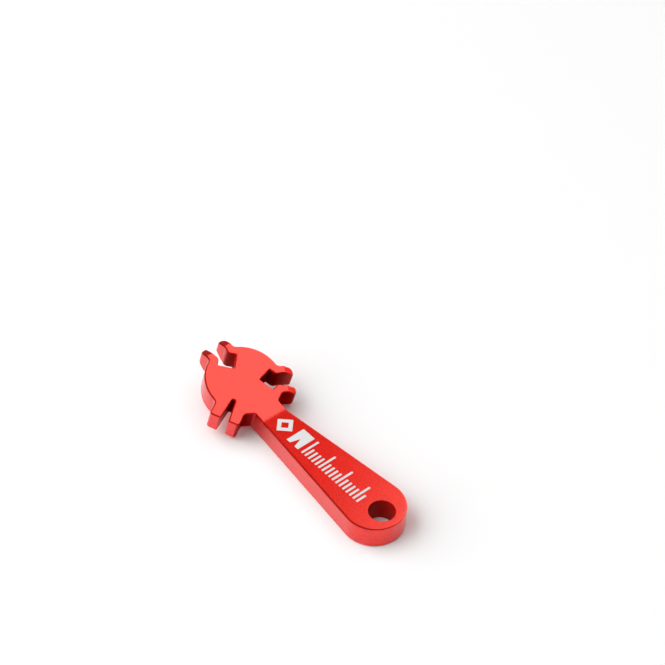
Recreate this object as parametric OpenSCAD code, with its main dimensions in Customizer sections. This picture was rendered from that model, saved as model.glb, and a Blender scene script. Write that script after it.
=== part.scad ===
// Spoke wrench: a flat plate with two square nipple jaws and a slot for bladed spokes,
// folded up at the neck. It lies on the underside of its handle.
// The origin is the centre of the key-ring hole, on the underside. +X runs towards the head.

/* [Plate] */
// Thickness of the metal, the same in head and handle
plate_t = 5; // [4:0.1:6]
// Angle by which the head is folded up from the handle
bend_angle = 15; // [5:1:25]

/* [Handle] */
// From the fold to the centre of the handle's round end
handle_l = 29.4; // [24:0.2:50]
// Radius of the handle's round end
end_r = 6.35; // [5.8:0.05:8]
// Width of the neck at the fold
neck_w = 6; // [5.3:0.1:7]
// Diameter of the key-ring hole
ring_hole_d = 5.2; // [4:0.1:7]
// Metal left between the key-ring hole and the handle's end
ring_wall = 1.55; // [1:0.05:2.5]

/* [Head] */
// Radius of the head's disc
disc_r = 8; // [7.4:0.1:8.6]
// From the fold to the centre of the disc
disc_reach = 9.95; // [9.2:0.05:14]
// Radius of the hollow where the neck leaves the disc
neck_fillet_r = 0.5; // [0.2:0.05:0.8]
// Radius of the hollow where an arm leaves the disc
arm_fillet_r = 1; // [0.4:0.1:1.2]

/* [Jaws] */
// Width of the square jaws across their flats
jaw_w = 3.3; // [3.1:0.05:3.6]
// From the centre of the disc to the centre of a jaw
jaw_reach = 5.6; // [5.3:0.05:6.2]
// Width between the lips of a jaw, which the spoke passes through
throat_w = 2.5; // [2:0.05:2.55]
// Radius of the lips
lip_r = 1; // [0.4:0.1:1.2]
// Length over which the throat widens to the mouth
flare_l = 0.9; // [0.5:0.1:1.2]
// Width of the mouth
mouth_w = 2.9; // [2.6:0.05:3.2]
// Width of each ear beside a mouth
ear_w = 1.7; // [1.6:0.05:2]
// From the centre of the disc to the tips of the front jaw's ears
front_ear_reach = 10.4; // [9.8:0.1:11.5]
// From the centre of the disc to the tips of the side jaw's ears
side_ear_reach = 10.72; // [9.8:0.02:11.5]
// Radius of an ear's outer corner
ear_outer_r = 1; // [0.3:0.05:1.05]
// Radius of an ear's inner corner, at the mouth
ear_inner_r = 0.5; // [0.1:0.05:0.6]
// Length of the bevels that thin the noses of the jaws
nose_bevel_l = 2; // [1:0.05:2.2]
// Depth of each of these bevels
nose_bevel_h = 1.2; // [0.4:0.05:1.5]

/* [Blade slot] */
// Width of the slot at its closed end
slot_tip_w = 0.7; // [0.5:0.05:1.2]
// Width of the slot at its mouth
slot_mouth_w = 1.75; // [1.3:0.05:2.4]
// From the centre of the disc to the closed end of the slot
slot_start = 5.3; // [4:0.1:6.5]
// From the centre of the disc to the ends of the legs
leg_reach = 10.5; // [9.6:0.1:11.5]
// Width over both legs and the slot between them
legs_w = 6.3; // [5.6:0.1:7]
// Radius of a leg's outer corner
leg_corner_r = 0.6; // [0.2:0.05:1.2]

/* [White marks] */
// Depth of the marks in the handle's top face
mark_depth = 0.3; // [0.1:0.05:0.8]
// Gap between a mark and the edge of its pocket
mark_gap = 0.02; // [0.01:0.01:0.05]
// Height of the marks, across the handle
mark_h = 4.4; // [3:0.1:4.8]
// From the fold to the first mark
mark_start = 1; // [0.6:0.1:2]
// Space between one mark and the next
mark_space = 0.9; // [0.5:0.1:1.5]
// Width of the diamond's band
diamond_band = 0.85; // [0.4:0.05:1]
// Width of the slot mark, along the handle
slot_mark_w = 3.4; // [2.6:0.1:4]
// Width of the notch in the slot mark
slot_notch_w = 1.3; // [0.8:0.1:1.6]
// Depth of the notch in the slot mark
slot_notch_l = 2.2; // [1:0.1:2.6]
// Width of a line of the scale
tick_w = 0.45; // [0.25:0.05:0.6]
// From one line of the scale to the next
tick_pitch = 1; // [0.8:0.1:2]
// Lines from one long line of the scale to the next
tick_group = 5; // [2:1:10]
// Length of a short line of the scale
tick_short = 2.4; // [1:0.1:2.8]
// Least distance from the scale to the key-ring hole
scale_clear = 1.6; // [1:0.1:4]

/* [Hidden] */
$fn = 96;
metal_red = [0.93, 0.25, 0.2];
handle_red = [0.86, 0.13, 0.1];
mark_white = [0.95, 0.94, 0.93];
// How far a cutting body runs past the face that it cuts
over = 1;
// Overlap of an arc with the edge that it runs into, so that the two cross cleanly
hair = 0.002;
// Directions of the three arms from the centre of the disc, with the neck at 180 degrees
front_angle = 0;
slot_angle = 120;
side_angle = 240;
neck_angle = 180;
jaw_arm_w = mouth_w + 2 * ear_w;
// Where a square's sides would meet its throat, and where the rounded lips reach the throat
lip_x = jaw_reach + jaw_w / sqrt(2) - throat_w / 2;
lip_run = lip_r * tan(22.5);
throat_end = lip_x + lip_run;
end_x = end_r - ring_wall - ring_hole_d / 2;
fold_x = end_x + handle_l;
// The two plates meet on a plane that halves the fold
mitre_run = plate_t * tan(bend_angle / 2);
// Where the handle's straight edge touches its round end, as an angle at the end's centre
edge_angle = atan2(neck_w / 2, handle_l) + acos(end_r / norm([handle_l, neck_w / 2]));
// Steepness of the slot's sides
slot_flare = (slot_mouth_w - slot_tip_w) / 2 / (leg_reach - slot_start);
mark_z = plate_t - mark_depth;
slot_mark_x = fold_x - mark_start - mark_h - mark_space;
scale_x = slot_mark_x - slot_mark_w - mark_space - tick_w / 2;
scale_l = scale_x - tick_w / 2 - ring_hole_d / 2 - scale_clear;
tick_count = floor(scale_l / tick_pitch) + 1;

// What is left over outside a rounded corner at the origin, with the metal towards -X and -Y
module corner_waste(r) {
  translate([-r, -r]) difference() {
    square(r + over);
    circle(r + hair);
  }
}

// A strip along +X with two rounded corners at its far end
module rounded_strip(length, width, r) {
  difference() {
    translate([0, -width / 2]) square([length, width]);
    for (flip = [0, 1]) mirror([0, flip]) translate([length, width / 2]) corner_waste(r);
  }
}

// Hollow corners between the disc and both edges of a strip along +X
module disc_fillets(width, r) {
  centre_y = width / 2 + r;
  centre_x = sqrt((disc_r + r) ^ 2 - centre_y ^ 2);
  for (flip = [0, 1]) mirror([0, flip]) difference() {
    polygon([[0, 0], [centre_x, width / 2], [centre_x, centre_y]]);
    translate([centre_x, centre_y]) circle(r + hair);
  }
}

module arm(length, width, corner_r) {
  rounded_strip(length, width, corner_r);
  disc_fillets(width, arm_fillet_r);
}

// Disc, arms and neck as seen from above, with the disc's centre at the origin
module head_blank() {
  circle(disc_r);
  rotate(front_angle) arm(front_ear_reach, jaw_arm_w, ear_outer_r);
  rotate(side_angle) arm(side_ear_reach, jaw_arm_w, ear_outer_r);
  rotate(slot_angle) arm(leg_reach, legs_w, leg_corner_r);
  rotate(neck_angle) {
    translate([0, -neck_w / 2]) square([disc_reach + mitre_run + over, neck_w]);
    disc_fillets(neck_w, neck_fillet_r);
  }
}

// What is left over outside the rounded lip between a jaw's square and its throat
module lip_waste() {
  difference() {
    polygon([
      [jaw_reach, 0],
      [throat_end, throat_w / 2],
      [lip_x - lip_run / sqrt(2), throat_w / 2 + lip_run / sqrt(2)]
    ]);
    translate([throat_end, throat_w / 2 + lip_r]) circle(lip_r + hair);
  }
}

// A square jaw that stands on its corner, with the throat and the mouth that lead to it
module jaw_opening(ear_reach) {
  translate([jaw_reach, 0]) rotate(45) square(jaw_w, center = true);
  polygon([
    [jaw_reach, -throat_w / 2],
    [throat_end, -throat_w / 2],
    [throat_end + flare_l, -mouth_w / 2],
    [ear_reach + over, -mouth_w / 2],
    [ear_reach + over, mouth_w / 2],
    [throat_end + flare_l, mouth_w / 2],
    [throat_end, throat_w / 2],
    [jaw_reach, throat_w / 2]
  ]);
  for (flip = [0, 1]) mirror([0, flip]) {
    lip_waste();
    translate([ear_reach, -mouth_w / 2]) corner_waste(ear_inner_r);
  }
}

// The slot for bladed spokes, which widens towards its mouth
module slot_opening() {
  start = slot_start + slot_tip_w / 2;
  mouth = slot_tip_w / 2 + slot_flare * (leg_reach + over - slot_start);
  translate([start, 0]) circle(slot_tip_w / 2);
  polygon([
    [start, -slot_tip_w / 2],
    [leg_reach + over, -mouth],
    [leg_reach + over, mouth],
    [start, slot_tip_w / 2]
  ]);
}

module head_outline() {
  difference() {
    head_blank();
    rotate(front_angle) jaw_opening(front_ear_reach);
    rotate(side_angle) jaw_opening(side_ear_reach);
    rotate(slot_angle) slot_opening();
  }
}

// The wedge that thins the nose of a jaw along +X, cut into a face at z = 0 from above
module nose_bevel(ear_reach) {
  slope = nose_bevel_h / nose_bevel_l;
  translate([0, jaw_arm_w / 2 + over, 0]) rotate([90, 0, 0])
    linear_extrude(jaw_arm_w + 2 * over) polygon([
      [ear_reach - nose_bevel_l - over / slope, over],
      [ear_reach + over, -nose_bevel_h - over * slope],
      [ear_reach + over, over]
    ]);
}

// The front jaw is thinned from above and from below, the side jaw only from above
module nose_bevels() {
  translate([0, 0, plate_t]) rotate(front_angle) nose_bevel(front_ear_reach);
  mirror([0, 0, 1]) rotate(front_angle) nose_bevel(front_ear_reach);
  translate([0, 0, plate_t]) rotate(side_angle) nose_bevel(side_ear_reach);
}

// The half of space beyond the fold, on the head's side
module beyond_fold() {
  reach = 2 * (disc_reach + front_ear_reach + side_ear_reach + leg_reach);
  translate([fold_x, 0, plate_t]) rotate([0, -bend_angle / 2, 0])
    translate([0, -reach / 2, -reach / 2]) cube(reach);
}

module head() color(metal_red) intersection() {
  translate([fold_x, 0, plate_t]) rotate([0, -bend_angle, 0]) translate([disc_reach, 0, -plate_t])
    difference() {
      linear_extrude(plate_t) head_outline();
      nose_bevels();
    }
  beyond_fold();
}

module handle_outline() {
  touch = (end_r - hair) * [cos(edge_angle), sin(edge_angle)];
  translate([end_x, 0]) {
    circle(end_r);
    polygon([
      [touch.x, -touch.y],
      [handle_l, -neck_w / 2],
      [handle_l + mitre_run + over, -neck_w / 2],
      [handle_l + mitre_run + over, neck_w / 2],
      [handle_l, neck_w / 2],
      [touch.x, touch.y]
    ]);
  }
}

// A ring on its corner, which stands for the square jaws
module jaw_mark_outline(gap) {
  side = mark_h / sqrt(2);
  translate([fold_x - mark_start - mark_h / 2, 0]) rotate(45) difference() {
    square(side + 2 * gap, center = true);
    square(side - 2 * diamond_band - 2 * gap, center = true);
  }
}

// A block with a tapered notch, which stands for the blade slot
module slot_mark_outline(gap) {
  flare = slot_notch_w / 2 / slot_notch_l;
  // The gap is square to the notch's slanted sides
  tip_y = mark_h / 2 - slot_notch_l + gap * norm([1, flare]) / flare;
  top_y = mark_h / 2 + over;
  top_w = flare * (top_y - tip_y);
  translate([slot_mark_x - slot_mark_w / 2, 0]) difference() {
    square([slot_mark_w + 2 * gap, mark_h + 2 * gap], center = true);
    polygon([[0, tip_y], [top_w, top_y], [-top_w, top_y]]);
  }
}

// The lines of a scale, the first of each group the full height of the marks
module scale_outline(gap) {
  for (i = [0 : tick_count - 1]) {
    length = i % tick_group == 0 ? mark_h : tick_short;
    translate([scale_x - i * tick_pitch - tick_w / 2 - gap, mark_h / 2 - length - gap])
      square([tick_w + 2 * gap, length + 2 * gap]);
  }
}

module handle() color(handle_red) difference() {
  linear_extrude(plate_t) handle_outline();
  translate([0, 0, -over]) cylinder(h = plate_t + 2 * over, d = ring_hole_d);
  beyond_fold();
  translate([0, 0, mark_z]) linear_extrude(mark_depth + over) {
    jaw_mark_outline(mark_gap);
    slot_mark_outline(mark_gap);
    scale_outline(mark_gap);
  }
}

// A mark that fills its pocket up to the handle's top face
module mark_fill() {
  translate([0, 0, mark_z]) linear_extrude(mark_depth) children();
}

module jaw_mark() color(mark_white) mark_fill() jaw_mark_outline(0);

module slot_mark() color(mark_white) mark_fill() slot_mark_outline(0);

module scale_marks() color(mark_white) mark_fill() scale_outline(0);

head();
handle();
jaw_mark();
slot_mark();
scale_marks();
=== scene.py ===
from collections import namedtuple
from math import acos, atan2, ceil, cos, degrees, hypot, radians, sin, sqrt, tan

import bmesh
import bpy
from mathutils import Matrix, Vector


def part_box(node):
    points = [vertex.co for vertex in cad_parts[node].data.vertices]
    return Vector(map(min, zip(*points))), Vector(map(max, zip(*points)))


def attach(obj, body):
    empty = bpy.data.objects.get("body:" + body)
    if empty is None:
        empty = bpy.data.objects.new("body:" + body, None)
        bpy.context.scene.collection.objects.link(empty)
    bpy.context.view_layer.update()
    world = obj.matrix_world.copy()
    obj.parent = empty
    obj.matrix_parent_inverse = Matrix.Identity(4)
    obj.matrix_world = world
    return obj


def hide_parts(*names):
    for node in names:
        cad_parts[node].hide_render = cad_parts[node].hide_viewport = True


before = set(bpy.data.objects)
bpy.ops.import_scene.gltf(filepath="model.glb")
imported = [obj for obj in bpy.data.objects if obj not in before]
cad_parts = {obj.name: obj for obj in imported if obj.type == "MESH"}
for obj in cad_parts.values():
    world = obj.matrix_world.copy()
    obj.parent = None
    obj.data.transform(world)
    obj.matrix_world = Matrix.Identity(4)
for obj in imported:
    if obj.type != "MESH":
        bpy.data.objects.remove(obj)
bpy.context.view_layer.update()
scene = bpy.context.scene
mm = 0.001
tiny = 1e-6
up = Vector((0, 0, 1))
noiseDetail = 2.0
noiseMiddle = 0.5
print("frame:", ", ".join(sorted(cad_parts)))


# shader maths: a wire is one socket, and sums of wires add Math nodes
class Wire:
    def __init__(self, graph, socket):
        self.graph = graph
        self.socket = socket

    def maths(self, operation, first, second):
        made = self.graph.node("ShaderNodeMath", {"operation": operation}, {0: first, 1: second})
        return Wire(self.graph, made.outputs[0])

    def __add__(self, other):
        return self.maths("ADD", self, other)

    def __radd__(self, other):
        return self.maths("ADD", other, self)

    def __sub__(self, other):
        return self.maths("SUBTRACT", self, other)

    def __rsub__(self, other):
        return self.maths("SUBTRACT", other, self)

    def __mul__(self, other):
        return self.maths("MULTIPLY", self, other)

    def __rmul__(self, other):
        return self.maths("MULTIPLY", other, self)


class ShaderGraph:
    def __init__(self, name):
        self.material = bpy.data.materials.new(name)
        self.material.use_nodes = True
        self.tree = self.material.node_tree
        self.tree.nodes.clear()

    # settings go in before the sockets, because they can change which sockets there are
    def node(self, kind, settings, sockets):
        made = self.tree.nodes.new(kind)
        for name, value in settings.items():
            setattr(made, name, value)
        for name, value in sockets.items():
            if isinstance(value, Wire):
                self.tree.links.new(value.socket, made.inputs[name])
            else:
                made.inputs[name].default_value = value
        return made

    def wire(self, kind, settings, sockets, output):
        return Wire(self, self.node(kind, settings, sockets).outputs[output])

    def noise(self, size, roughness):
        place = self.wire("ShaderNodeTexCoord", {}, {}, "Object")
        sockets = {"Vector": place, "Scale": 1 / (size * mm), "Detail": noiseDetail, "Roughness": roughness}
        return self.wire("ShaderNodeTexNoise", {}, sockets, "Fac")

    def painted(self, name):
        return self.wire("ShaderNodeAttribute", {"attribute_name": name}, {}, "Fac")

    def blend(self, factor, first, second):
        return self.wire("ShaderNodeMix", {"data_type": "RGBA"}, {0: factor, 6: first, 7: second}, 2)

    def bump(self, height, distance, strength):
        sockets = {"Height": height, "Distance": distance * mm, "Strength": strength}
        return self.wire("ShaderNodeBump", {}, sockets, 0)

    def finish(self, sockets):
        surface = self.wire("ShaderNodeBsdfPrincipled", {}, sockets, "BSDF")
        self.node("ShaderNodeOutputMaterial", {}, {"Surface": surface})
        return self.material


# red dye in a blasted, anodised skin: coloured metal under a thin clear oxide, with painted shade in the
# jaws, slot, hole and nooks (darker red, less metal sheen, no coat)
redSkin = {
    "deepRed": (0.70, 0.005, 0.002, 1),
    "brightRed": (1.0, 0.014, 0.004, 1),
    # painted shade: the red that recesses turn to
    "paintedShadeRed": (0.27, 0.002, 0.001, 1),
    "grainSize": 0.36,
    "grainRoughness": 0.6,
    "grainTone": 2.4,
    "grainHeight": 0.008,
    "grainStrength": 1.0,
    "cloudSize": 6.0,
    "cloudRoughness": 0.5,
    "cloudTone": 0.3,
    "plainTone": 0.6,
    "metal": 0.92,
    "roughness": 0.52,
    "roughnessSpread": 0.10,
    "rimPolish": 0.12,
    "coatRoughness": 0.18,
    "coatIor": 1.5,
    "dyeIor": 1.0,
}


def makeRedSkin(look):
    g = ShaderGraph("redAnodisedSkin")
    grain = g.noise(look["grainSize"], look["grainRoughness"])
    cloud = g.noise(look["cloudSize"], look["cloudRoughness"])
    rim = g.painted("rim")
    cavity = g.painted("cavity")
    spread = grain - noiseMiddle
    tone = spread * look["grainTone"] + cloud * look["cloudTone"] + look["plainTone"]
    colour = g.blend(tone, look["deepRed"], look["brightRed"])
    # painted shade: recesses turn darker red and lose their metal sheen and coat
    colour = g.blend(cavity, colour, look["paintedShadeRed"])
    return g.finish({
        "Base Color": colour,
        "Metallic": (1 - cavity) * look["metal"],
        "Roughness": look["roughness"] + spread * look["roughnessSpread"] - rim * look["rimPolish"],
        "Normal": g.bump(grain, look["grainHeight"], look["grainStrength"]),
        "Coat Weight": 1 - cavity,
        "Coat Roughness": look["coatRoughness"],
        "Coat IOR": look["coatIor"],
        "IOR": look["dyeIor"],
    })


# matt white ink, a little uneven
whiteInk = {
    "white": (0.78, 0.775, 0.78, 1),
    "thinWhite": (0.66, 0.63, 0.63, 1),
    "speckSize": 0.3,
    "speckRoughness": 0.6,
    "speckTone": 0.6,
    "patchSize": 2.2,
    "patchRoughness": 0.5,
    "patchTone": 0.5,
    "roughness": 0.5,
    "roughnessSpread": 0.2,
    "inkHeight": 0.004,
    "inkStrength": 0.6,
}


def makeWhiteInk(look):
    g = ShaderGraph("whiteInk")
    speck = g.noise(look["speckSize"], look["speckRoughness"])
    patch = g.noise(look["patchSize"], look["patchRoughness"])
    tone = speck * look["speckTone"] + patch * look["patchTone"]
    return g.finish({
        "Base Color": g.blend(tone, look["thinWhite"], look["white"]),
        "Roughness": look["roughness"] + speck * look["roughnessSpread"],
        "Normal": g.bump(speck, look["inkHeight"], look["inkStrength"]),
    })


redMaterial = makeRedSkin(redSkin)
inkMaterial = makeWhiteInk(whiteInk)
print("materials ready")


# the plate that head and handle are cut from, in mm and degrees
plate = {
    "thickness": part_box("handle")[1].z / mm,
    "bend": 15.0,
    "neckWidth": 6.0,
    "edgeRadius": 0.32,
    "softHead": 1.4,
    "softHandle": 0.45,
    "arcStep": 5.0,
}
edgeSteps = 4
mitre = tan(radians(plate["bend"] / 2))
seamTurn = plate["bend"] * plate["softHandle"] / (plate["softHead"] + plate["softHandle"])

# an outline runs anticlockwise: a spot has its place, its outward direction, a tag,
# and how much painted shade it carries on a wall inside a jaw, slot, hole or nook
Spot = namedtuple("Spot", "p n tag cavity")


def makeSpot(x, y, facing, tag=""):
    angle = radians(facing)
    return Spot(Vector((x, y)), Vector((cos(angle), sin(angle))), tag, 0.0)


def arc(cx, cy, r, start, end):
    steps = max(2, ceil(abs(end - start) / plate["arcStep"]))
    hollow = 0 if end > start else 180
    angles = [start + (end - start) * i / steps for i in range(steps + 1)]
    return [makeSpot(cx + r * cos(radians(a)), cy + r * sin(radians(a)), a + hollow) for a in angles]


# a rounded corner between two headings; a turn to the left stands out, to the right is hollow
def corner(x, y, headIn, headOut, r):
    side = 90 if headOut > headIn else -90
    back = r * tan(radians(abs(headOut - headIn) / 2))
    cx = x - back * cos(radians(headIn)) + r * cos(radians(headIn + side))
    cy = y - back * sin(radians(headIn)) + r * sin(radians(headIn + side))
    return arc(cx, cy, r, headIn - side, headOut - side)


def roundedLoop(vertices, r):
    spots = []
    for i, (x, y) in enumerate(vertices):
        px, py = vertices[i - 1]
        qx, qy = vertices[(i + 1) % len(vertices)]
        headIn = degrees(atan2(y - py, x - px))
        turn = (degrees(atan2(qy - y, qx - x)) - headIn + 180) % 360 - 180
        spots += corner(x, y, headIn, headIn + turn, r)
    return spots


def mirrored(spots):
    flip = Vector((1, -1))
    return [s._replace(p=s.p * flip, n=s.n * flip) for s in reversed(spots)]


def turned(spots, angle):
    rotation = Matrix.Rotation(radians(angle), 2)
    return [s._replace(p=rotation @ s.p, n=rotation @ s.n) for s in spots]


# adds spots where an outline crosses x and tags what lies beyond
def creasedAt(spots, x):
    made = []
    for before, s in zip([spots[0]] + spots, spots):
        if (before.p.x - x) * (s.p.x - x) < 0:
            share = (x - before.p.x) / (s.p.x - before.p.x)
            n = before.n.lerp(s.n, share).normalized()
            cavity = before.cavity + (s.cavity - before.cavity) * share
            made.append(Spot(before.p.lerp(s.p, share), n, "crease", cavity))
        made.append(s._replace(tag="tip") if s.p.x > x else s)
    return made


# a solid slab with rounded edges, built ring by ring from the top face down
class Slab:
    def __init__(self, name, thickness, place, facing):
        self.name = name
        self.thickness = thickness
        self.place = place
        self.facing = facing
        self.bm = bmesh.new()
        self.rim = self.bm.verts.layers.float.new("rim")
        # per-vertex strength of the painted shade in recesses
        self.cavity = self.bm.verts.layers.float.new("cavity")
        self.normals = {}
        self.flat = {}

    def vertex(self, s, inset, depth, tilt):
        v = self.bm.verts.new(self.place(s.p - s.n * inset, depth, s.tag) * mm)
        v[self.rim] = abs(sin(2 * tilt))
        # the painted shade sits on the walls and fades out round the edges into the faces
        v[self.cavity] = s.cavity * cos(tilt) ** 2
        self.normals[v] = self.facing(s, tilt)
        return v

    def rings(self, spots, radius):
        made = []
        for i in range(edgeSteps + 1):
            tilt = radians(90 - 90 * i / edgeSteps)
            inset, depth = radius * (1 - cos(tilt)), radius * (1 - sin(tilt))
            made.append([self.vertex(s, inset, depth, tilt) for s in spots])
        for i in range(edgeSteps + 1):
            tilt = radians(90 * i / edgeSteps)
            inset, depth = radius * (1 - cos(tilt)), self.thickness - radius * (1 - sin(tilt))
            made.append([self.vertex(s, inset, depth, -tilt) for s in spots])
        return made

    # walls between rings, leaving out the open seam
    def walls(self, rings, spots):
        for upper, lower in zip(rings, rings[1:]):
            for i in range(len(spots)):
                if not spots[i - 1].tag == spots[i].tag == "seam":
                    self.bm.faces.new((lower[i - 1], lower[i], upper[i], upper[i - 1]))

    def fill(self, loops, normal):
        edges = []
        for loop in loops:
            for i in range(len(loop)):
                pair = (loop[i - 1], loop[i])
                edges.append(self.bm.edges.get(pair) or self.bm.edges.new(pair))
        made = bmesh.ops.triangle_fill(self.bm, use_beauty=True, edges=edges, normal=normal)
        for f in made["geom"]:
            if isinstance(f, bmesh.types.BMFace):
                f.normal_update()
                if f.normal.dot(normal) < 0:
                    f.normal_flip()
                self.flat[f] = normal

    # the strips of both faces that run into the fold, and the flat end on the fold's plane
    def closeSeam(self, rings, spots):
        seam = [i for i, s in enumerate(spots) if s.tag == "seam"]
        band = [i for i, s in enumerate(spots) if s.tag == "band"]
        for ring, (a, b) in ((rings[0], (0, 1)), (rings[-1], (1, 0))):
            self.bm.faces.new((ring[band[a]], ring[seam[a]], ring[seam[b]], ring[band[b]]))
        wayDown = [ring[seam[0]] for ring in rings]
        wayUp = [ring[seam[1]] for ring in reversed(rings)]
        end = self.bm.faces.new(wayDown + wayUp)
        end.normal_update()
        self.flat[end] = end.normal.copy()

    # flat-bottomed pockets in the top face; gives back their rims for the face's fill
    def pocket(self, loops, depth):
        rims, floors = [], []
        for loop in loops:
            rim = [self.bm.verts.new(self.place(Vector(p), 0, "") * mm) for p in loop]
            floor = [self.bm.verts.new(self.place(Vector(p), depth, "") * mm) for p in loop]
            for i in range(len(loop)):
                wall = self.bm.faces.new((rim[i - 1], rim[i], floor[i], floor[i - 1]))
                wall.normal_update()
                self.flat[wall] = wall.normal.copy()
            rims.append(rim)
            floors.append(floor)
        self.fill(floors, up)
        return rims

    def finish(self, material):
        mesh = bpy.data.meshes.new(self.name)
        smooth = []
        for f in self.bm.faces:
            f.smooth = True
            smooth += [self.flat.get(f) or self.normals[loop.vert] for loop in f.loops]
        self.bm.to_mesh(mesh)
        self.bm.free()
        mesh.normals_split_custom_set(smooth)
        mesh.materials.append(material)
        piece = bpy.data.objects.new(self.name, mesh)
        scene.collection.objects.link(piece)
        return piece


# normals turn from the wall to the face round an edge, and part of the way into the bend at the fold
def edgeNormal(s, tilt, slope, turn):
    face = turn @ Vector((slope.x, slope.y, 1 if tilt > 0 else -1)).normalized()
    if s.tag == "seam":
        face = Matrix.Rotation(radians(-seamTurn), 3, "Y") @ Vector((0, 0, 1 if tilt > 0 else -1))
    wall = turn @ Vector((s.n.x, s.n.y, 0))
    return (wall * cos(tilt) + face * abs(sin(tilt))).normalized()


# the head: a disc with two jaws and a slot, its arms placed by their angles
head = {
    "discRadius": 8.0, "discReach": 9.95, "neckFillet": 0.5, "armFillet": 1.0,
    "jawWidth": 3.3, "jawReach": 5.6, "jawCorner": 0.16,
    "throat": 2.5, "lipRadius": 1.0, "flare": 0.9, "flareCorner": 0.6, "mouth": 2.9,
    "ear": 1.7, "frontReach": 10.4, "sideReach": 10.72, "earOuter": 1.0, "earInner": 0.5,
    "bevelLength": 2.0, "bevelDepth": 1.2,
    "slotTip": 0.7, "slotMouth": 1.75, "slotStart": 5.3,
    "legs": 6.3, "legReach": 10.5, "legCorner": 0.6, "slotLip": 0.34,
    "frontAngle": 0, "slotAngle": 120, "neckAngle": 180, "sideAngle": 240,
    # how far the painted shade on the jaws' and slot's inner walls reaches, and how strong it is
    "frontOpen": 7.8, "frontPaintedShade": 0.8, "sideOpen": 13.4, "sidePaintedShade": 1.0, "slotPaintedShade": 1.0,
    # where the painted shade in the nooks beside the neck sits and how it fades
    "nook": (-7.2, 5.4), "nookReach": 6.5, "nookTurn": 0.5, "nookFade": 0.3, "nookGain": 1.2,
}


def discTouch(half, r):
    cy = half + r
    return sqrt((head["discRadius"] + r) ** 2 - cy ** 2), cy


def discFillet(half, r):
    cx, cy = discTouch(half, r)
    return arc(cx, -cy, r, degrees(atan2(cy, -cx)), 90)


# painted shade on an inner wall: darkest at its deep end, none from its open end on
def withPaintedShade(spots, deepX, openX, darkest):
    made = []
    for s in spots:
        share = (openX - s.p.x) / (openX - deepX)
        made.append(s._replace(cavity=darkest * min(1, max(0, share))))
    return made


def jawHalf(reach, openX, darkest):
    half = head["mouth"] / 2 + head["ear"]
    deep = head["jawWidth"] / sqrt(2)
    mouth, throat, r = head["mouth"] / 2, head["throat"] / 2, head["lipRadius"]
    centre = head["jawReach"]
    lipX = centre + deep - throat + r * tan(radians(45 / 2))
    flare = degrees(atan2(mouth - throat, head["flare"]))
    lip = arc(lipX, -throat - r, r, 90 - flare, 135)
    flareX = lip[0].p.x + (mouth + lip[0].p.y) / tan(radians(flare))
    spots = discFillet(half, head["armFillet"])
    spots += corner(reach, -half, 0, 90, head["earOuter"])
    inner = corner(reach, -mouth, 90, 180, head["earInner"])
    inner += corner(flareX, -mouth, 180, 180 - flare, head["flareCorner"]) + lip
    inner += corner(centre, -deep, 225, 135, head["jawCorner"])
    bottom = corner(centre - deep, 0, 135, 45, head["jawCorner"])
    inner += bottom[: len(bottom) // 2 + 1]
    spots += withPaintedShade(inner, lipX, openX, darkest)
    return creasedAt(spots, reach - head["bevelLength"])


def slotHalf():
    half, tip, mouth = head["legs"] / 2, head["slotTip"] / 2, head["slotMouth"] / 2
    reach = head["legReach"]
    start = head["slotStart"] + tip
    flare = degrees(atan2(mouth - tip, reach - start))
    spots = discFillet(half, head["armFillet"])
    spots += corner(reach, -half, 0, 90, head["legCorner"])
    inner = corner(reach, -mouth, 90, 180 - flare, head["slotLip"])
    inner += arc(start, 0, tip, -90 - flare, -180)
    return spots + withPaintedShade(inner, start, reach, head["slotPaintedShade"])


def neckHalf():
    half = plate["neckWidth"] / 2
    spots = discFillet(half, head["neckFillet"])
    spots.append(makeSpot(head["discReach"] - plate["softHead"], -half, -90, "band"))
    spots.append(makeSpot(head["discReach"], -half, -90, "seam"))
    return spots


# painted shade in the nooks between the neck and the arms beside it, on the walls that look at the neck
def nookPaintedShade(s):
    away = hypot(s.p.x - head["nook"][0], abs(s.p.y) - head["nook"][1])
    looking = min(1, max(0, (-s.n.x - head["nookTurn"]) / head["nookFade"]))
    return looking * min(1, head["nookGain"] * max(0, 1 - away / head["nookReach"]))


def headOutline():
    jawSide = discTouch(head["mouth"] / 2 + head["ear"], head["armFillet"])
    slotSide = discTouch(head["legs"] / 2, head["armFillet"])
    neckSide = discTouch(plate["neckWidth"] / 2, head["neckFillet"])
    front = jawHalf(head["frontReach"], head["frontOpen"], head["frontPaintedShade"])
    side = jawHalf(head["sideReach"], head["sideOpen"], head["sidePaintedShade"])
    arms = [
        (head["frontAngle"], front, jawSide), (head["slotAngle"], slotHalf(), slotSide),
        (head["neckAngle"], neckHalf(), neckSide), (head["sideAngle"], side, jawSide),
    ]
    spots = []
    for i, (angle, half, (cx, cy)) in enumerate(arms):
        onAxis = abs(half[-1].p.y) < tiny
        spots += turned(half + mirrored(half)[1 if onAxis else 0:], angle)
        nextAngle, _, (nx, ny) = arms[(i + 1) % len(arms)]
        start = angle + degrees(atan2(cy, cx))
        end = nextAngle - degrees(atan2(ny, nx)) + (360 if nextAngle < angle else 0)
        spots += arc(0, 0, head["discRadius"], start, end)[1:-1]
    # adds the painted shade of the nooks
    return [s._replace(cavity=max(s.cavity, nookPaintedShade(s))) for s in spots]


# how far a jaw's bevel has fallen at a place, and its slope there; below, only the front jaw has one
def bevelFall(p, above):
    noses = [(head["frontAngle"], head["frontReach"])]
    if above:
        noses.append((head["sideAngle"], head["sideReach"]))
    for angle, reach in noses:
        way = Vector((cos(radians(angle)), sin(radians(angle))))
        past = p.dot(way) - reach + head["bevelLength"]
        if past > 0:
            slope = head["bevelDepth"] / head["bevelLength"]
            return past * slope, way * slope
    return 0, Vector((0, 0))


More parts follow.
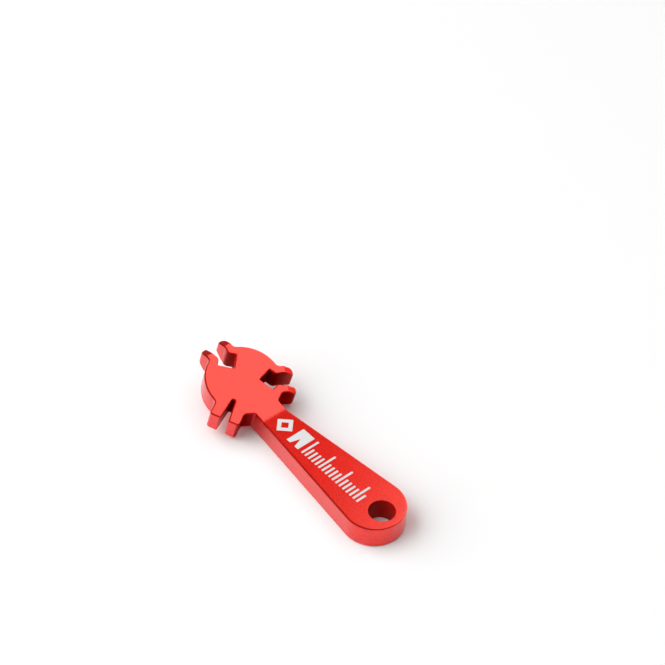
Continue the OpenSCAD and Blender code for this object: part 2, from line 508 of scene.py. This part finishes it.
# the handle: round end, straight tapered sides, a key-ring hole and shallow pockets for the marks
handle = {"endRadius": 6.35, "length": 29.4, "holeRadius": 2.6, "holeEdge": 0.14, "holePaintedShade": 0.75}
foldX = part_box("handle")[0].x / mm + handle["endRadius"] + handle["length"]
bend = Matrix.Rotation(radians(-plate["bend"]), 3, "Y")


def headPlace(p, depth, tag):
    shift = depth * mitre if tag == "seam" else 0
    above = depth < plate["thickness"] / 2
    fall = bevelFall(p, above)[0]
    depth += fall if above else -fall
    local = Vector((head["discReach"] + p.x - shift, p.y, -depth))
    return Vector((foldX, 0, plate["thickness"])) + bend @ local


def headFacing(s, tilt):
    slope = bevelFall(s.p, tilt > 0)[1] if s.tag == "tip" else Vector((0, 0))
    return edgeNormal(s, tilt, slope, bend)


def makeHead():
    spots = headOutline()
    slab = Slab("wrenchHead", plate["thickness"], headPlace, headFacing)
    rings = slab.rings(spots, plate["edgeRadius"])
    slab.walls(rings, spots)
    slab.closeSeam(rings, spots)
    for ring, side in ((rings[0], 1), (rings[-1], -1)):
        face = [v for v, s in zip(ring, spots) if s.tag not in ("tip", "seam")]
        slab.fill([face], bend @ (up * side))
        tip = []
        for v, s in zip(ring, spots):
            if s.tag in ("crease", "tip"):
                tip.append(v)
            if s.tag == "tip":
                slope = bevelFall(s.p, side > 0)[1]
            if s.tag == "crease" and len(tip) > 1:
                slab.fill([tip], bend @ Vector((slope.x, slope.y, side)).normalized())
                tip = []
    return slab.finish(redMaterial)


# white marks in the handle's top face: a diamond, a notched block and the lines of a scale
marks = {
    "height": 4.4, "start": 1.0, "space": 0.9, "depth": 0.3, "gap": 0.02, "edge": 0.03, "corner": 0.12,
    "diamondBand": 0.85, "slotWidth": 3.4, "notchWidth": 1.3, "notchLength": 2.2,
    "lineWidth": 0.45, "linePitch": 1.0, "shortLine": 2.4, "lineGroup": 5, "lineCorner": 3, "scaleClear": 1.6,
}
slotMarkX = foldX - marks["start"] - marks["height"] - marks["space"]
scaleX = slotMarkX - marks["slotWidth"] - marks["space"] - marks["lineWidth"] / 2
scaleLength = scaleX - marks["lineWidth"] / 2 - handle["holeRadius"] - marks["scaleClear"]
lineCount = int(scaleLength / marks["linePitch"]) + 1


def diamondLoops(gap):
    x = foldX - marks["start"] - marks["height"] / 2
    outer = marks["height"] / 2 + gap * sqrt(2)
    inner = marks["height"] / 2 - (marks["diamondBand"] + gap) * sqrt(2)
    outside = [(x + outer, 0), (x, outer), (x - outer, 0), (x, -outer)]
    inside = [(x, -inner), (x - inner, 0), (x, inner), (x + inner, 0)]
    return outside, inside


def notchedLoop(gap):
    x = slotMarkX - marks["slotWidth"] / 2
    w = marks["slotWidth"] / 2 + gap
    h = marks["height"] / 2 + gap
    flare = marks["notchWidth"] / 2 / marks["notchLength"]
    tipY = marks["height"] / 2 - marks["notchLength"] + gap * hypot(1, flare) / flare
    top = flare * (h - tipY)
    return [(x - w, -h), (x + w, -h), (x + w, h), (x + top, h), (x, tipY), (x - top, h), (x - w, h)]


def lineLoops(gap):
    loops = []
    for i in range(lineCount):
        length = marks["shortLine"] if i % marks["lineGroup"] else marks["height"]
        x = scaleX - i * marks["linePitch"]
        w = marks["lineWidth"] / 2 + gap
        high = marks["height"] / 2 + gap
        low = marks["height"] / 2 - length - gap
        loops.append([(x - w, low), (x + w, low), (x + w, high), (x - w, high)])
    return loops


def handleOutline():
    half, length = plate["neckWidth"] / 2, handle["length"]
    touch = degrees(atan2(half, length) + acos(handle["endRadius"] / hypot(length, half)))
    spots = arc(foldX - length, 0, handle["endRadius"], touch, 360 - touch)
    band = plate["softHandle"]
    wide = half + band / tan(radians(touch))
    spots.append(makeSpot(foldX - band, -wide, -touch, "band"))
    spots.append(makeSpot(foldX, -half, -90, "seam"))
    spots.append(makeSpot(foldX, half, 90, "seam"))
    spots.append(makeSpot(foldX - band, wide, touch, "band"))
    return spots


def handlePlace(p, depth, tag):
    shift = depth * mitre if tag == "seam" else 0
    return Vector((p.x + shift, p.y, plate["thickness"] - depth))


def flatFacing(s, tilt):
    return edgeNormal(s, tilt, Vector((0, 0)), Matrix.Identity(3))


def makeHandle():
    spots = handleOutline()
    slab = Slab("wrenchHandle", plate["thickness"], handlePlace, flatFacing)
    rings = slab.rings(spots, plate["edgeRadius"])
    slab.walls(rings, spots)
    slab.closeSeam(rings, spots)
    # painted shade all round the key-ring hole's wall
    hole = [s._replace(cavity=handle["holePaintedShade"]) for s in arc(0, 0, handle["holeRadius"], 360, 0)[:-1]]
    holeRings = slab.rings(hole, handle["holeEdge"])
    slab.walls(holeRings, hole)
    gap, depth = marks["gap"], marks["depth"]
    rims = [slab.pocket([loop], depth)[0] for loop in lineLoops(gap) + [notchedLoop(gap)]]
    diamondRims = slab.pocket(diamondLoops(gap), depth)
    slab.fill([diamondRims[1]], up)
    top = [v for v, s in zip(rings[0], spots) if s.tag != "seam"]
    slab.fill([top, holeRings[0], diamondRims[0]] + rims, up)
    under = [v for v, s in zip(rings[-1], spots) if s.tag != "seam"]
    slab.fill([under, holeRings[-1]], -up)
    return slab.finish(redMaterial)


# one mark as a thin slab with its outer loop first and any holes after it
def makeMark(name, loops):
    slab = Slab(name, marks["depth"], handlePlace, flatFacing)
    rounded = [roundedLoop(loop, marks["corner"]) for loop in loops]
    rings = [slab.rings(spots, marks["edge"]) for spots in rounded]
    for spots, ring in zip(rounded, rings):
        slab.walls(ring, spots)
    slab.fill([ring[0] for ring in rings], up)
    slab.fill([ring[-1] for ring in rings], -up)
    return slab.finish(inkMaterial)


# the scale's lines as a Geometry Nodes tree: two rounded bars set out along the handle
class GeometryTree:
    def __init__(self, name, inputs):
        self.tree = bpy.data.node_groups.new(name, "GeometryNodeTree")
        self.sockets = {}
        for label, (kind, value) in inputs.items():
            made = self.tree.interface.new_socket(name=label, in_out="INPUT", socket_type=kind)
            self.sockets[label] = (made.identifier, value)
        self.tree.interface.new_socket(name="Geometry", in_out="OUTPUT", socket_type="NodeSocketGeometry")
        self.entry = self.tree.nodes.new("NodeGroupInput")

    def node(self, kind, settings, sockets):
        made = self.tree.nodes.new(kind)
        for name, value in settings.items():
            setattr(made, name, value)
        for name, value in sockets.items():
            for one in value if isinstance(value, list) else [value]:
                if isinstance(one, bpy.types.NodeSocket):
                    self.tree.links.new(one, made.inputs[name])
                else:
                    made.inputs[name].default_value = one
        return made.outputs[0] if made.outputs else None

    def given(self, label):
        return self.entry.outputs[label]

    def bake(self, name):
        carrier = bpy.data.objects.new(name, bpy.data.meshes.new(name))
        scene.collection.objects.link(carrier)
        modifier = carrier.modifiers.new(name, "NODES")
        modifier.node_group = self.tree
        for identifier, value in self.sockets.values():
            modifier[identifier] = value
        evaluated = carrier.evaluated_get(bpy.context.evaluated_depsgraph_get())
        mesh = bpy.data.meshes.new_from_object(evaluated)
        carrier.modifiers.clear()
        carrier.data = mesh
        return carrier


def scaleBar(g, length):
    sizes = {"Width": g.given("Line width"), "Height": length}
    outline = g.node("GeometryNodeCurvePrimitiveQuadrilateral", {}, sizes)
    corners = {
        "Curve": outline, "Radius": g.given("Corner"), "Count": marks["lineCorner"], "Limit Radius": True,
    }
    outline = g.node("GeometryNodeFilletCurve", {"mode": "POLY"}, corners)
    face = g.node("GeometryNodeFillCurve", {"mode": "NGONS"}, {"Curve": outline})
    under = g.node("GeometryNodeFlipFaces", {}, {"Mesh": face})
    raised = {"Mesh": face, "Offset Scale": g.given("Depth"), "Individual": False}
    body = g.node("GeometryNodeExtrudeMesh", {}, raised)
    bar = g.node("GeometryNodeJoinGeometry", {}, {"Geometry": [under, body]})
    bar = g.node("GeometryNodeMergeByDistance", {}, {"Geometry": bar, "Distance": tiny})
    down = g.node("ShaderNodeMath", {"operation": "MULTIPLY"}, {0: length, 1: -0.5})
    below = g.node("ShaderNodeMath", {"operation": "MULTIPLY"}, {0: g.given("Depth"), 1: -1.0})
    place = g.node("ShaderNodeCombineXYZ", {}, {"Y": down, "Z": below})
    return g.node("GeometryNodeTransform", {}, {"Geometry": bar, "Translation": place})


def makeScale():
    g = GeometryTree("scaleLines", {
        "Start": ("NodeSocketVector", (scaleX * mm, marks["height"] / 2 * mm, plate["thickness"] * mm)),
        "Count": ("NodeSocketInt", lineCount),
        "Group": ("NodeSocketInt", marks["lineGroup"]),
        "Pitch": ("NodeSocketFloat", marks["linePitch"] * mm),
        "Line width": ("NodeSocketFloat", marks["lineWidth"] * mm),
        "Long line": ("NodeSocketFloat", marks["height"] * mm),
        "Short line": ("NodeSocketFloat", marks["shortLine"] * mm),
        "Corner": ("NodeSocketFloat", marks["corner"] * mm),
        "Depth": ("NodeSocketFloat", marks["depth"] * mm),
    })
    back = g.node("ShaderNodeMath", {"operation": "MULTIPLY"}, {0: g.given("Pitch"), 1: -1.0})
    step = g.node("ShaderNodeCombineXYZ", {}, {"X": back})
    line = {"Count": g.given("Count"), "Start Location": g.given("Start"), "Offset": step}
    points = g.node("GeometryNodeMeshLine", {"mode": "OFFSET"}, line)
    index = g.node("GeometryNodeInputIndex", {}, {})
    rest = g.node("ShaderNodeMath", {"operation": "MODULO"}, {0: index, 1: g.given("Group")})
    short = g.node("ShaderNodeMath", {"operation": "GREATER_THAN"}, {0: rest, 1: 0.5})
    full = g.node("ShaderNodeMath", {"operation": "LESS_THAN"}, {0: rest, 1: 0.5})
    lines = []
    for label, chosen in (("Long line", full), ("Short line", short)):
        sockets = {"Points": points, "Selection": chosen, "Instance": scaleBar(g, g.given(label))}
        lines.append(g.node("GeometryNodeInstanceOnPoints", {}, sockets))
    whole = g.node("GeometryNodeJoinGeometry", {}, {"Geometry": lines})
    whole = g.node("GeometryNodeRealizeInstances", {}, {"Geometry": whole})
    whole = g.node("GeometryNodeSetMaterial", {}, {"Geometry": whole, "Material": inkMaterial})
    g.node("NodeGroupOutput", {}, {"Geometry": whole})
    return g.bake("scaleLines")


headPiece = makeHead()
handlePiece = makeHandle()
diamondPiece = makeMark("diamondMark", diamondLoops(0))
notchedPiece = makeMark("notchedMark", [notchedLoop(0)])
scalePiece = makeScale()
for piece, node, slot in (
    (headPiece, "head", "red_anodised_aluminium"), (handlePiece, "handle", "red_anodised_aluminium"),
    (diamondPiece, "jaw_mark", "white_paint"), (notchedPiece, "slot_mark", "white_paint"),
    (scalePiece, "scale_marks", "white_paint"),
):
    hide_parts(node)
    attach(piece, "root")
    print(node + ":", len(piece.data.polygons), "faces")


# pale floor, soft light and the picture's camera; floor and lamps in metres, the rest in mm and degrees
studio = {
    "floorSize": 3.0,
    "floorWhite": (0.96, 0.962, 0.965, 1),
    "floorShade": (0.94, 0.942, 0.945, 1),
    "floorCloud": 120.0,
    "cloudRoughness": 0.5,
    "floorRoughness": 0.7,
    "skyGrey": 0.12,
    "lampAim": (0.025, 0, 0.004),
    "target": (43.13, -25.39, 4.0),
    "distance": 375.6,
    "azimuth": 136.27,
    "elevation": 43.79,
    "roll": -3.7,
    "lens": 97.44,
    "sensor": 36.0,
    "nearest": 10.0,
}


def makeFloor():
    g = ShaderGraph("paleFloor")
    cloud = g.noise(studio["floorCloud"], studio["cloudRoughness"])
    shade = g.blend(cloud, studio["floorShade"], studio["floorWhite"])
    half = studio["floorSize"] / 2
    corners = [(-half, -half, 0), (half, -half, 0), (half, half, 0), (-half, half, 0)]
    mesh = bpy.data.meshes.new("floor")
    mesh.from_pydata(corners, [], [(0, 1, 2, 3)])
    mesh.materials.append(g.finish({"Base Color": shade, "Roughness": studio["floorRoughness"]}))
    floor = bpy.data.objects.new("floor", mesh)
    scene.collection.objects.link(floor)


def direction(azimuth, elevation):
    a, e = radians(azimuth), radians(elevation)
    return Vector((cos(a) * cos(e), sin(a) * cos(e), sin(e)))


# a panel and a top light that show in the gloss, a tent of light that falls from the left, and a sky
lamps = {
    "panel": {"azimuth": -90, "elevation": 45, "distance": 0.6, "size": (0.555, 0.6), "watts": 2.55,
              "colour": (1, 0.97, 0.83), "hide": "visible_diffuse"},
    "tent": {"azimuth": 50, "elevation": 37, "distance": 1.4, "size": (2.2, 1.6), "watts": 31.0,
             "colour": (1, 1, 1), "hide": "visible_glossy"},
    "sky": {"azimuth": 0, "elevation": 89, "distance": 1.6, "size": (2.4, 2.4), "watts": 15.5,
            "colour": (1, 1, 1), "hide": "visible_glossy"},
    "top": {"azimuth": 200, "elevation": 76, "distance": 0.6, "size": (0.26, 0.26), "watts": 0.35,
            "colour": (1, 1, 1), "hide": "visible_diffuse"},
}


def makeLamp(name, look):
    light = bpy.data.lights.new(name, "AREA")
    light.shape = "RECTANGLE"
    light.size, light.size_y = look["size"]
    light.energy = look["watts"]
    light.color = look["colour"]
    lamp = bpy.data.objects.new(name, light)
    aim = Vector(studio["lampAim"])
    lamp.location = aim + direction(look["azimuth"], look["elevation"]) * look["distance"]
    lamp.rotation_euler = (aim - lamp.location).to_track_quat("-Z", "Y").to_euler()
    setattr(lamp, look["hide"], False)
    scene.collection.objects.link(lamp)


def makeCamera():
    lens = bpy.data.cameras.new("camera")
    lens.lens = studio["lens"]
    lens.sensor_width = studio["sensor"]
    lens.clip_start = studio["nearest"] * mm
    camera = bpy.data.objects.new("camera", lens)
    back = direction(studio["azimuth"], studio["elevation"])
    place = (Vector(studio["target"]) + back * studio["distance"]) * mm
    turn = back.to_track_quat("Z", "Y").to_matrix().to_4x4()
    roll = Matrix.Rotation(radians(-studio["roll"]), 4, "Z")
    camera.matrix_world = Matrix.Translation(place) @ turn @ roll
    scene.collection.objects.link(camera)
    scene.camera = camera


makeFloor()
for name, look in lamps.items():
    makeLamp(name, look)
makeCamera()
world = bpy.data.worlds.new("studio")
world.use_nodes = True
grey = studio["skyGrey"]
world.node_tree.nodes["Background"].inputs["Color"].default_value = (grey, grey, grey, 1)
scene.world = world
scene.view_settings.view_transform = "Standard"
print("studio ready")
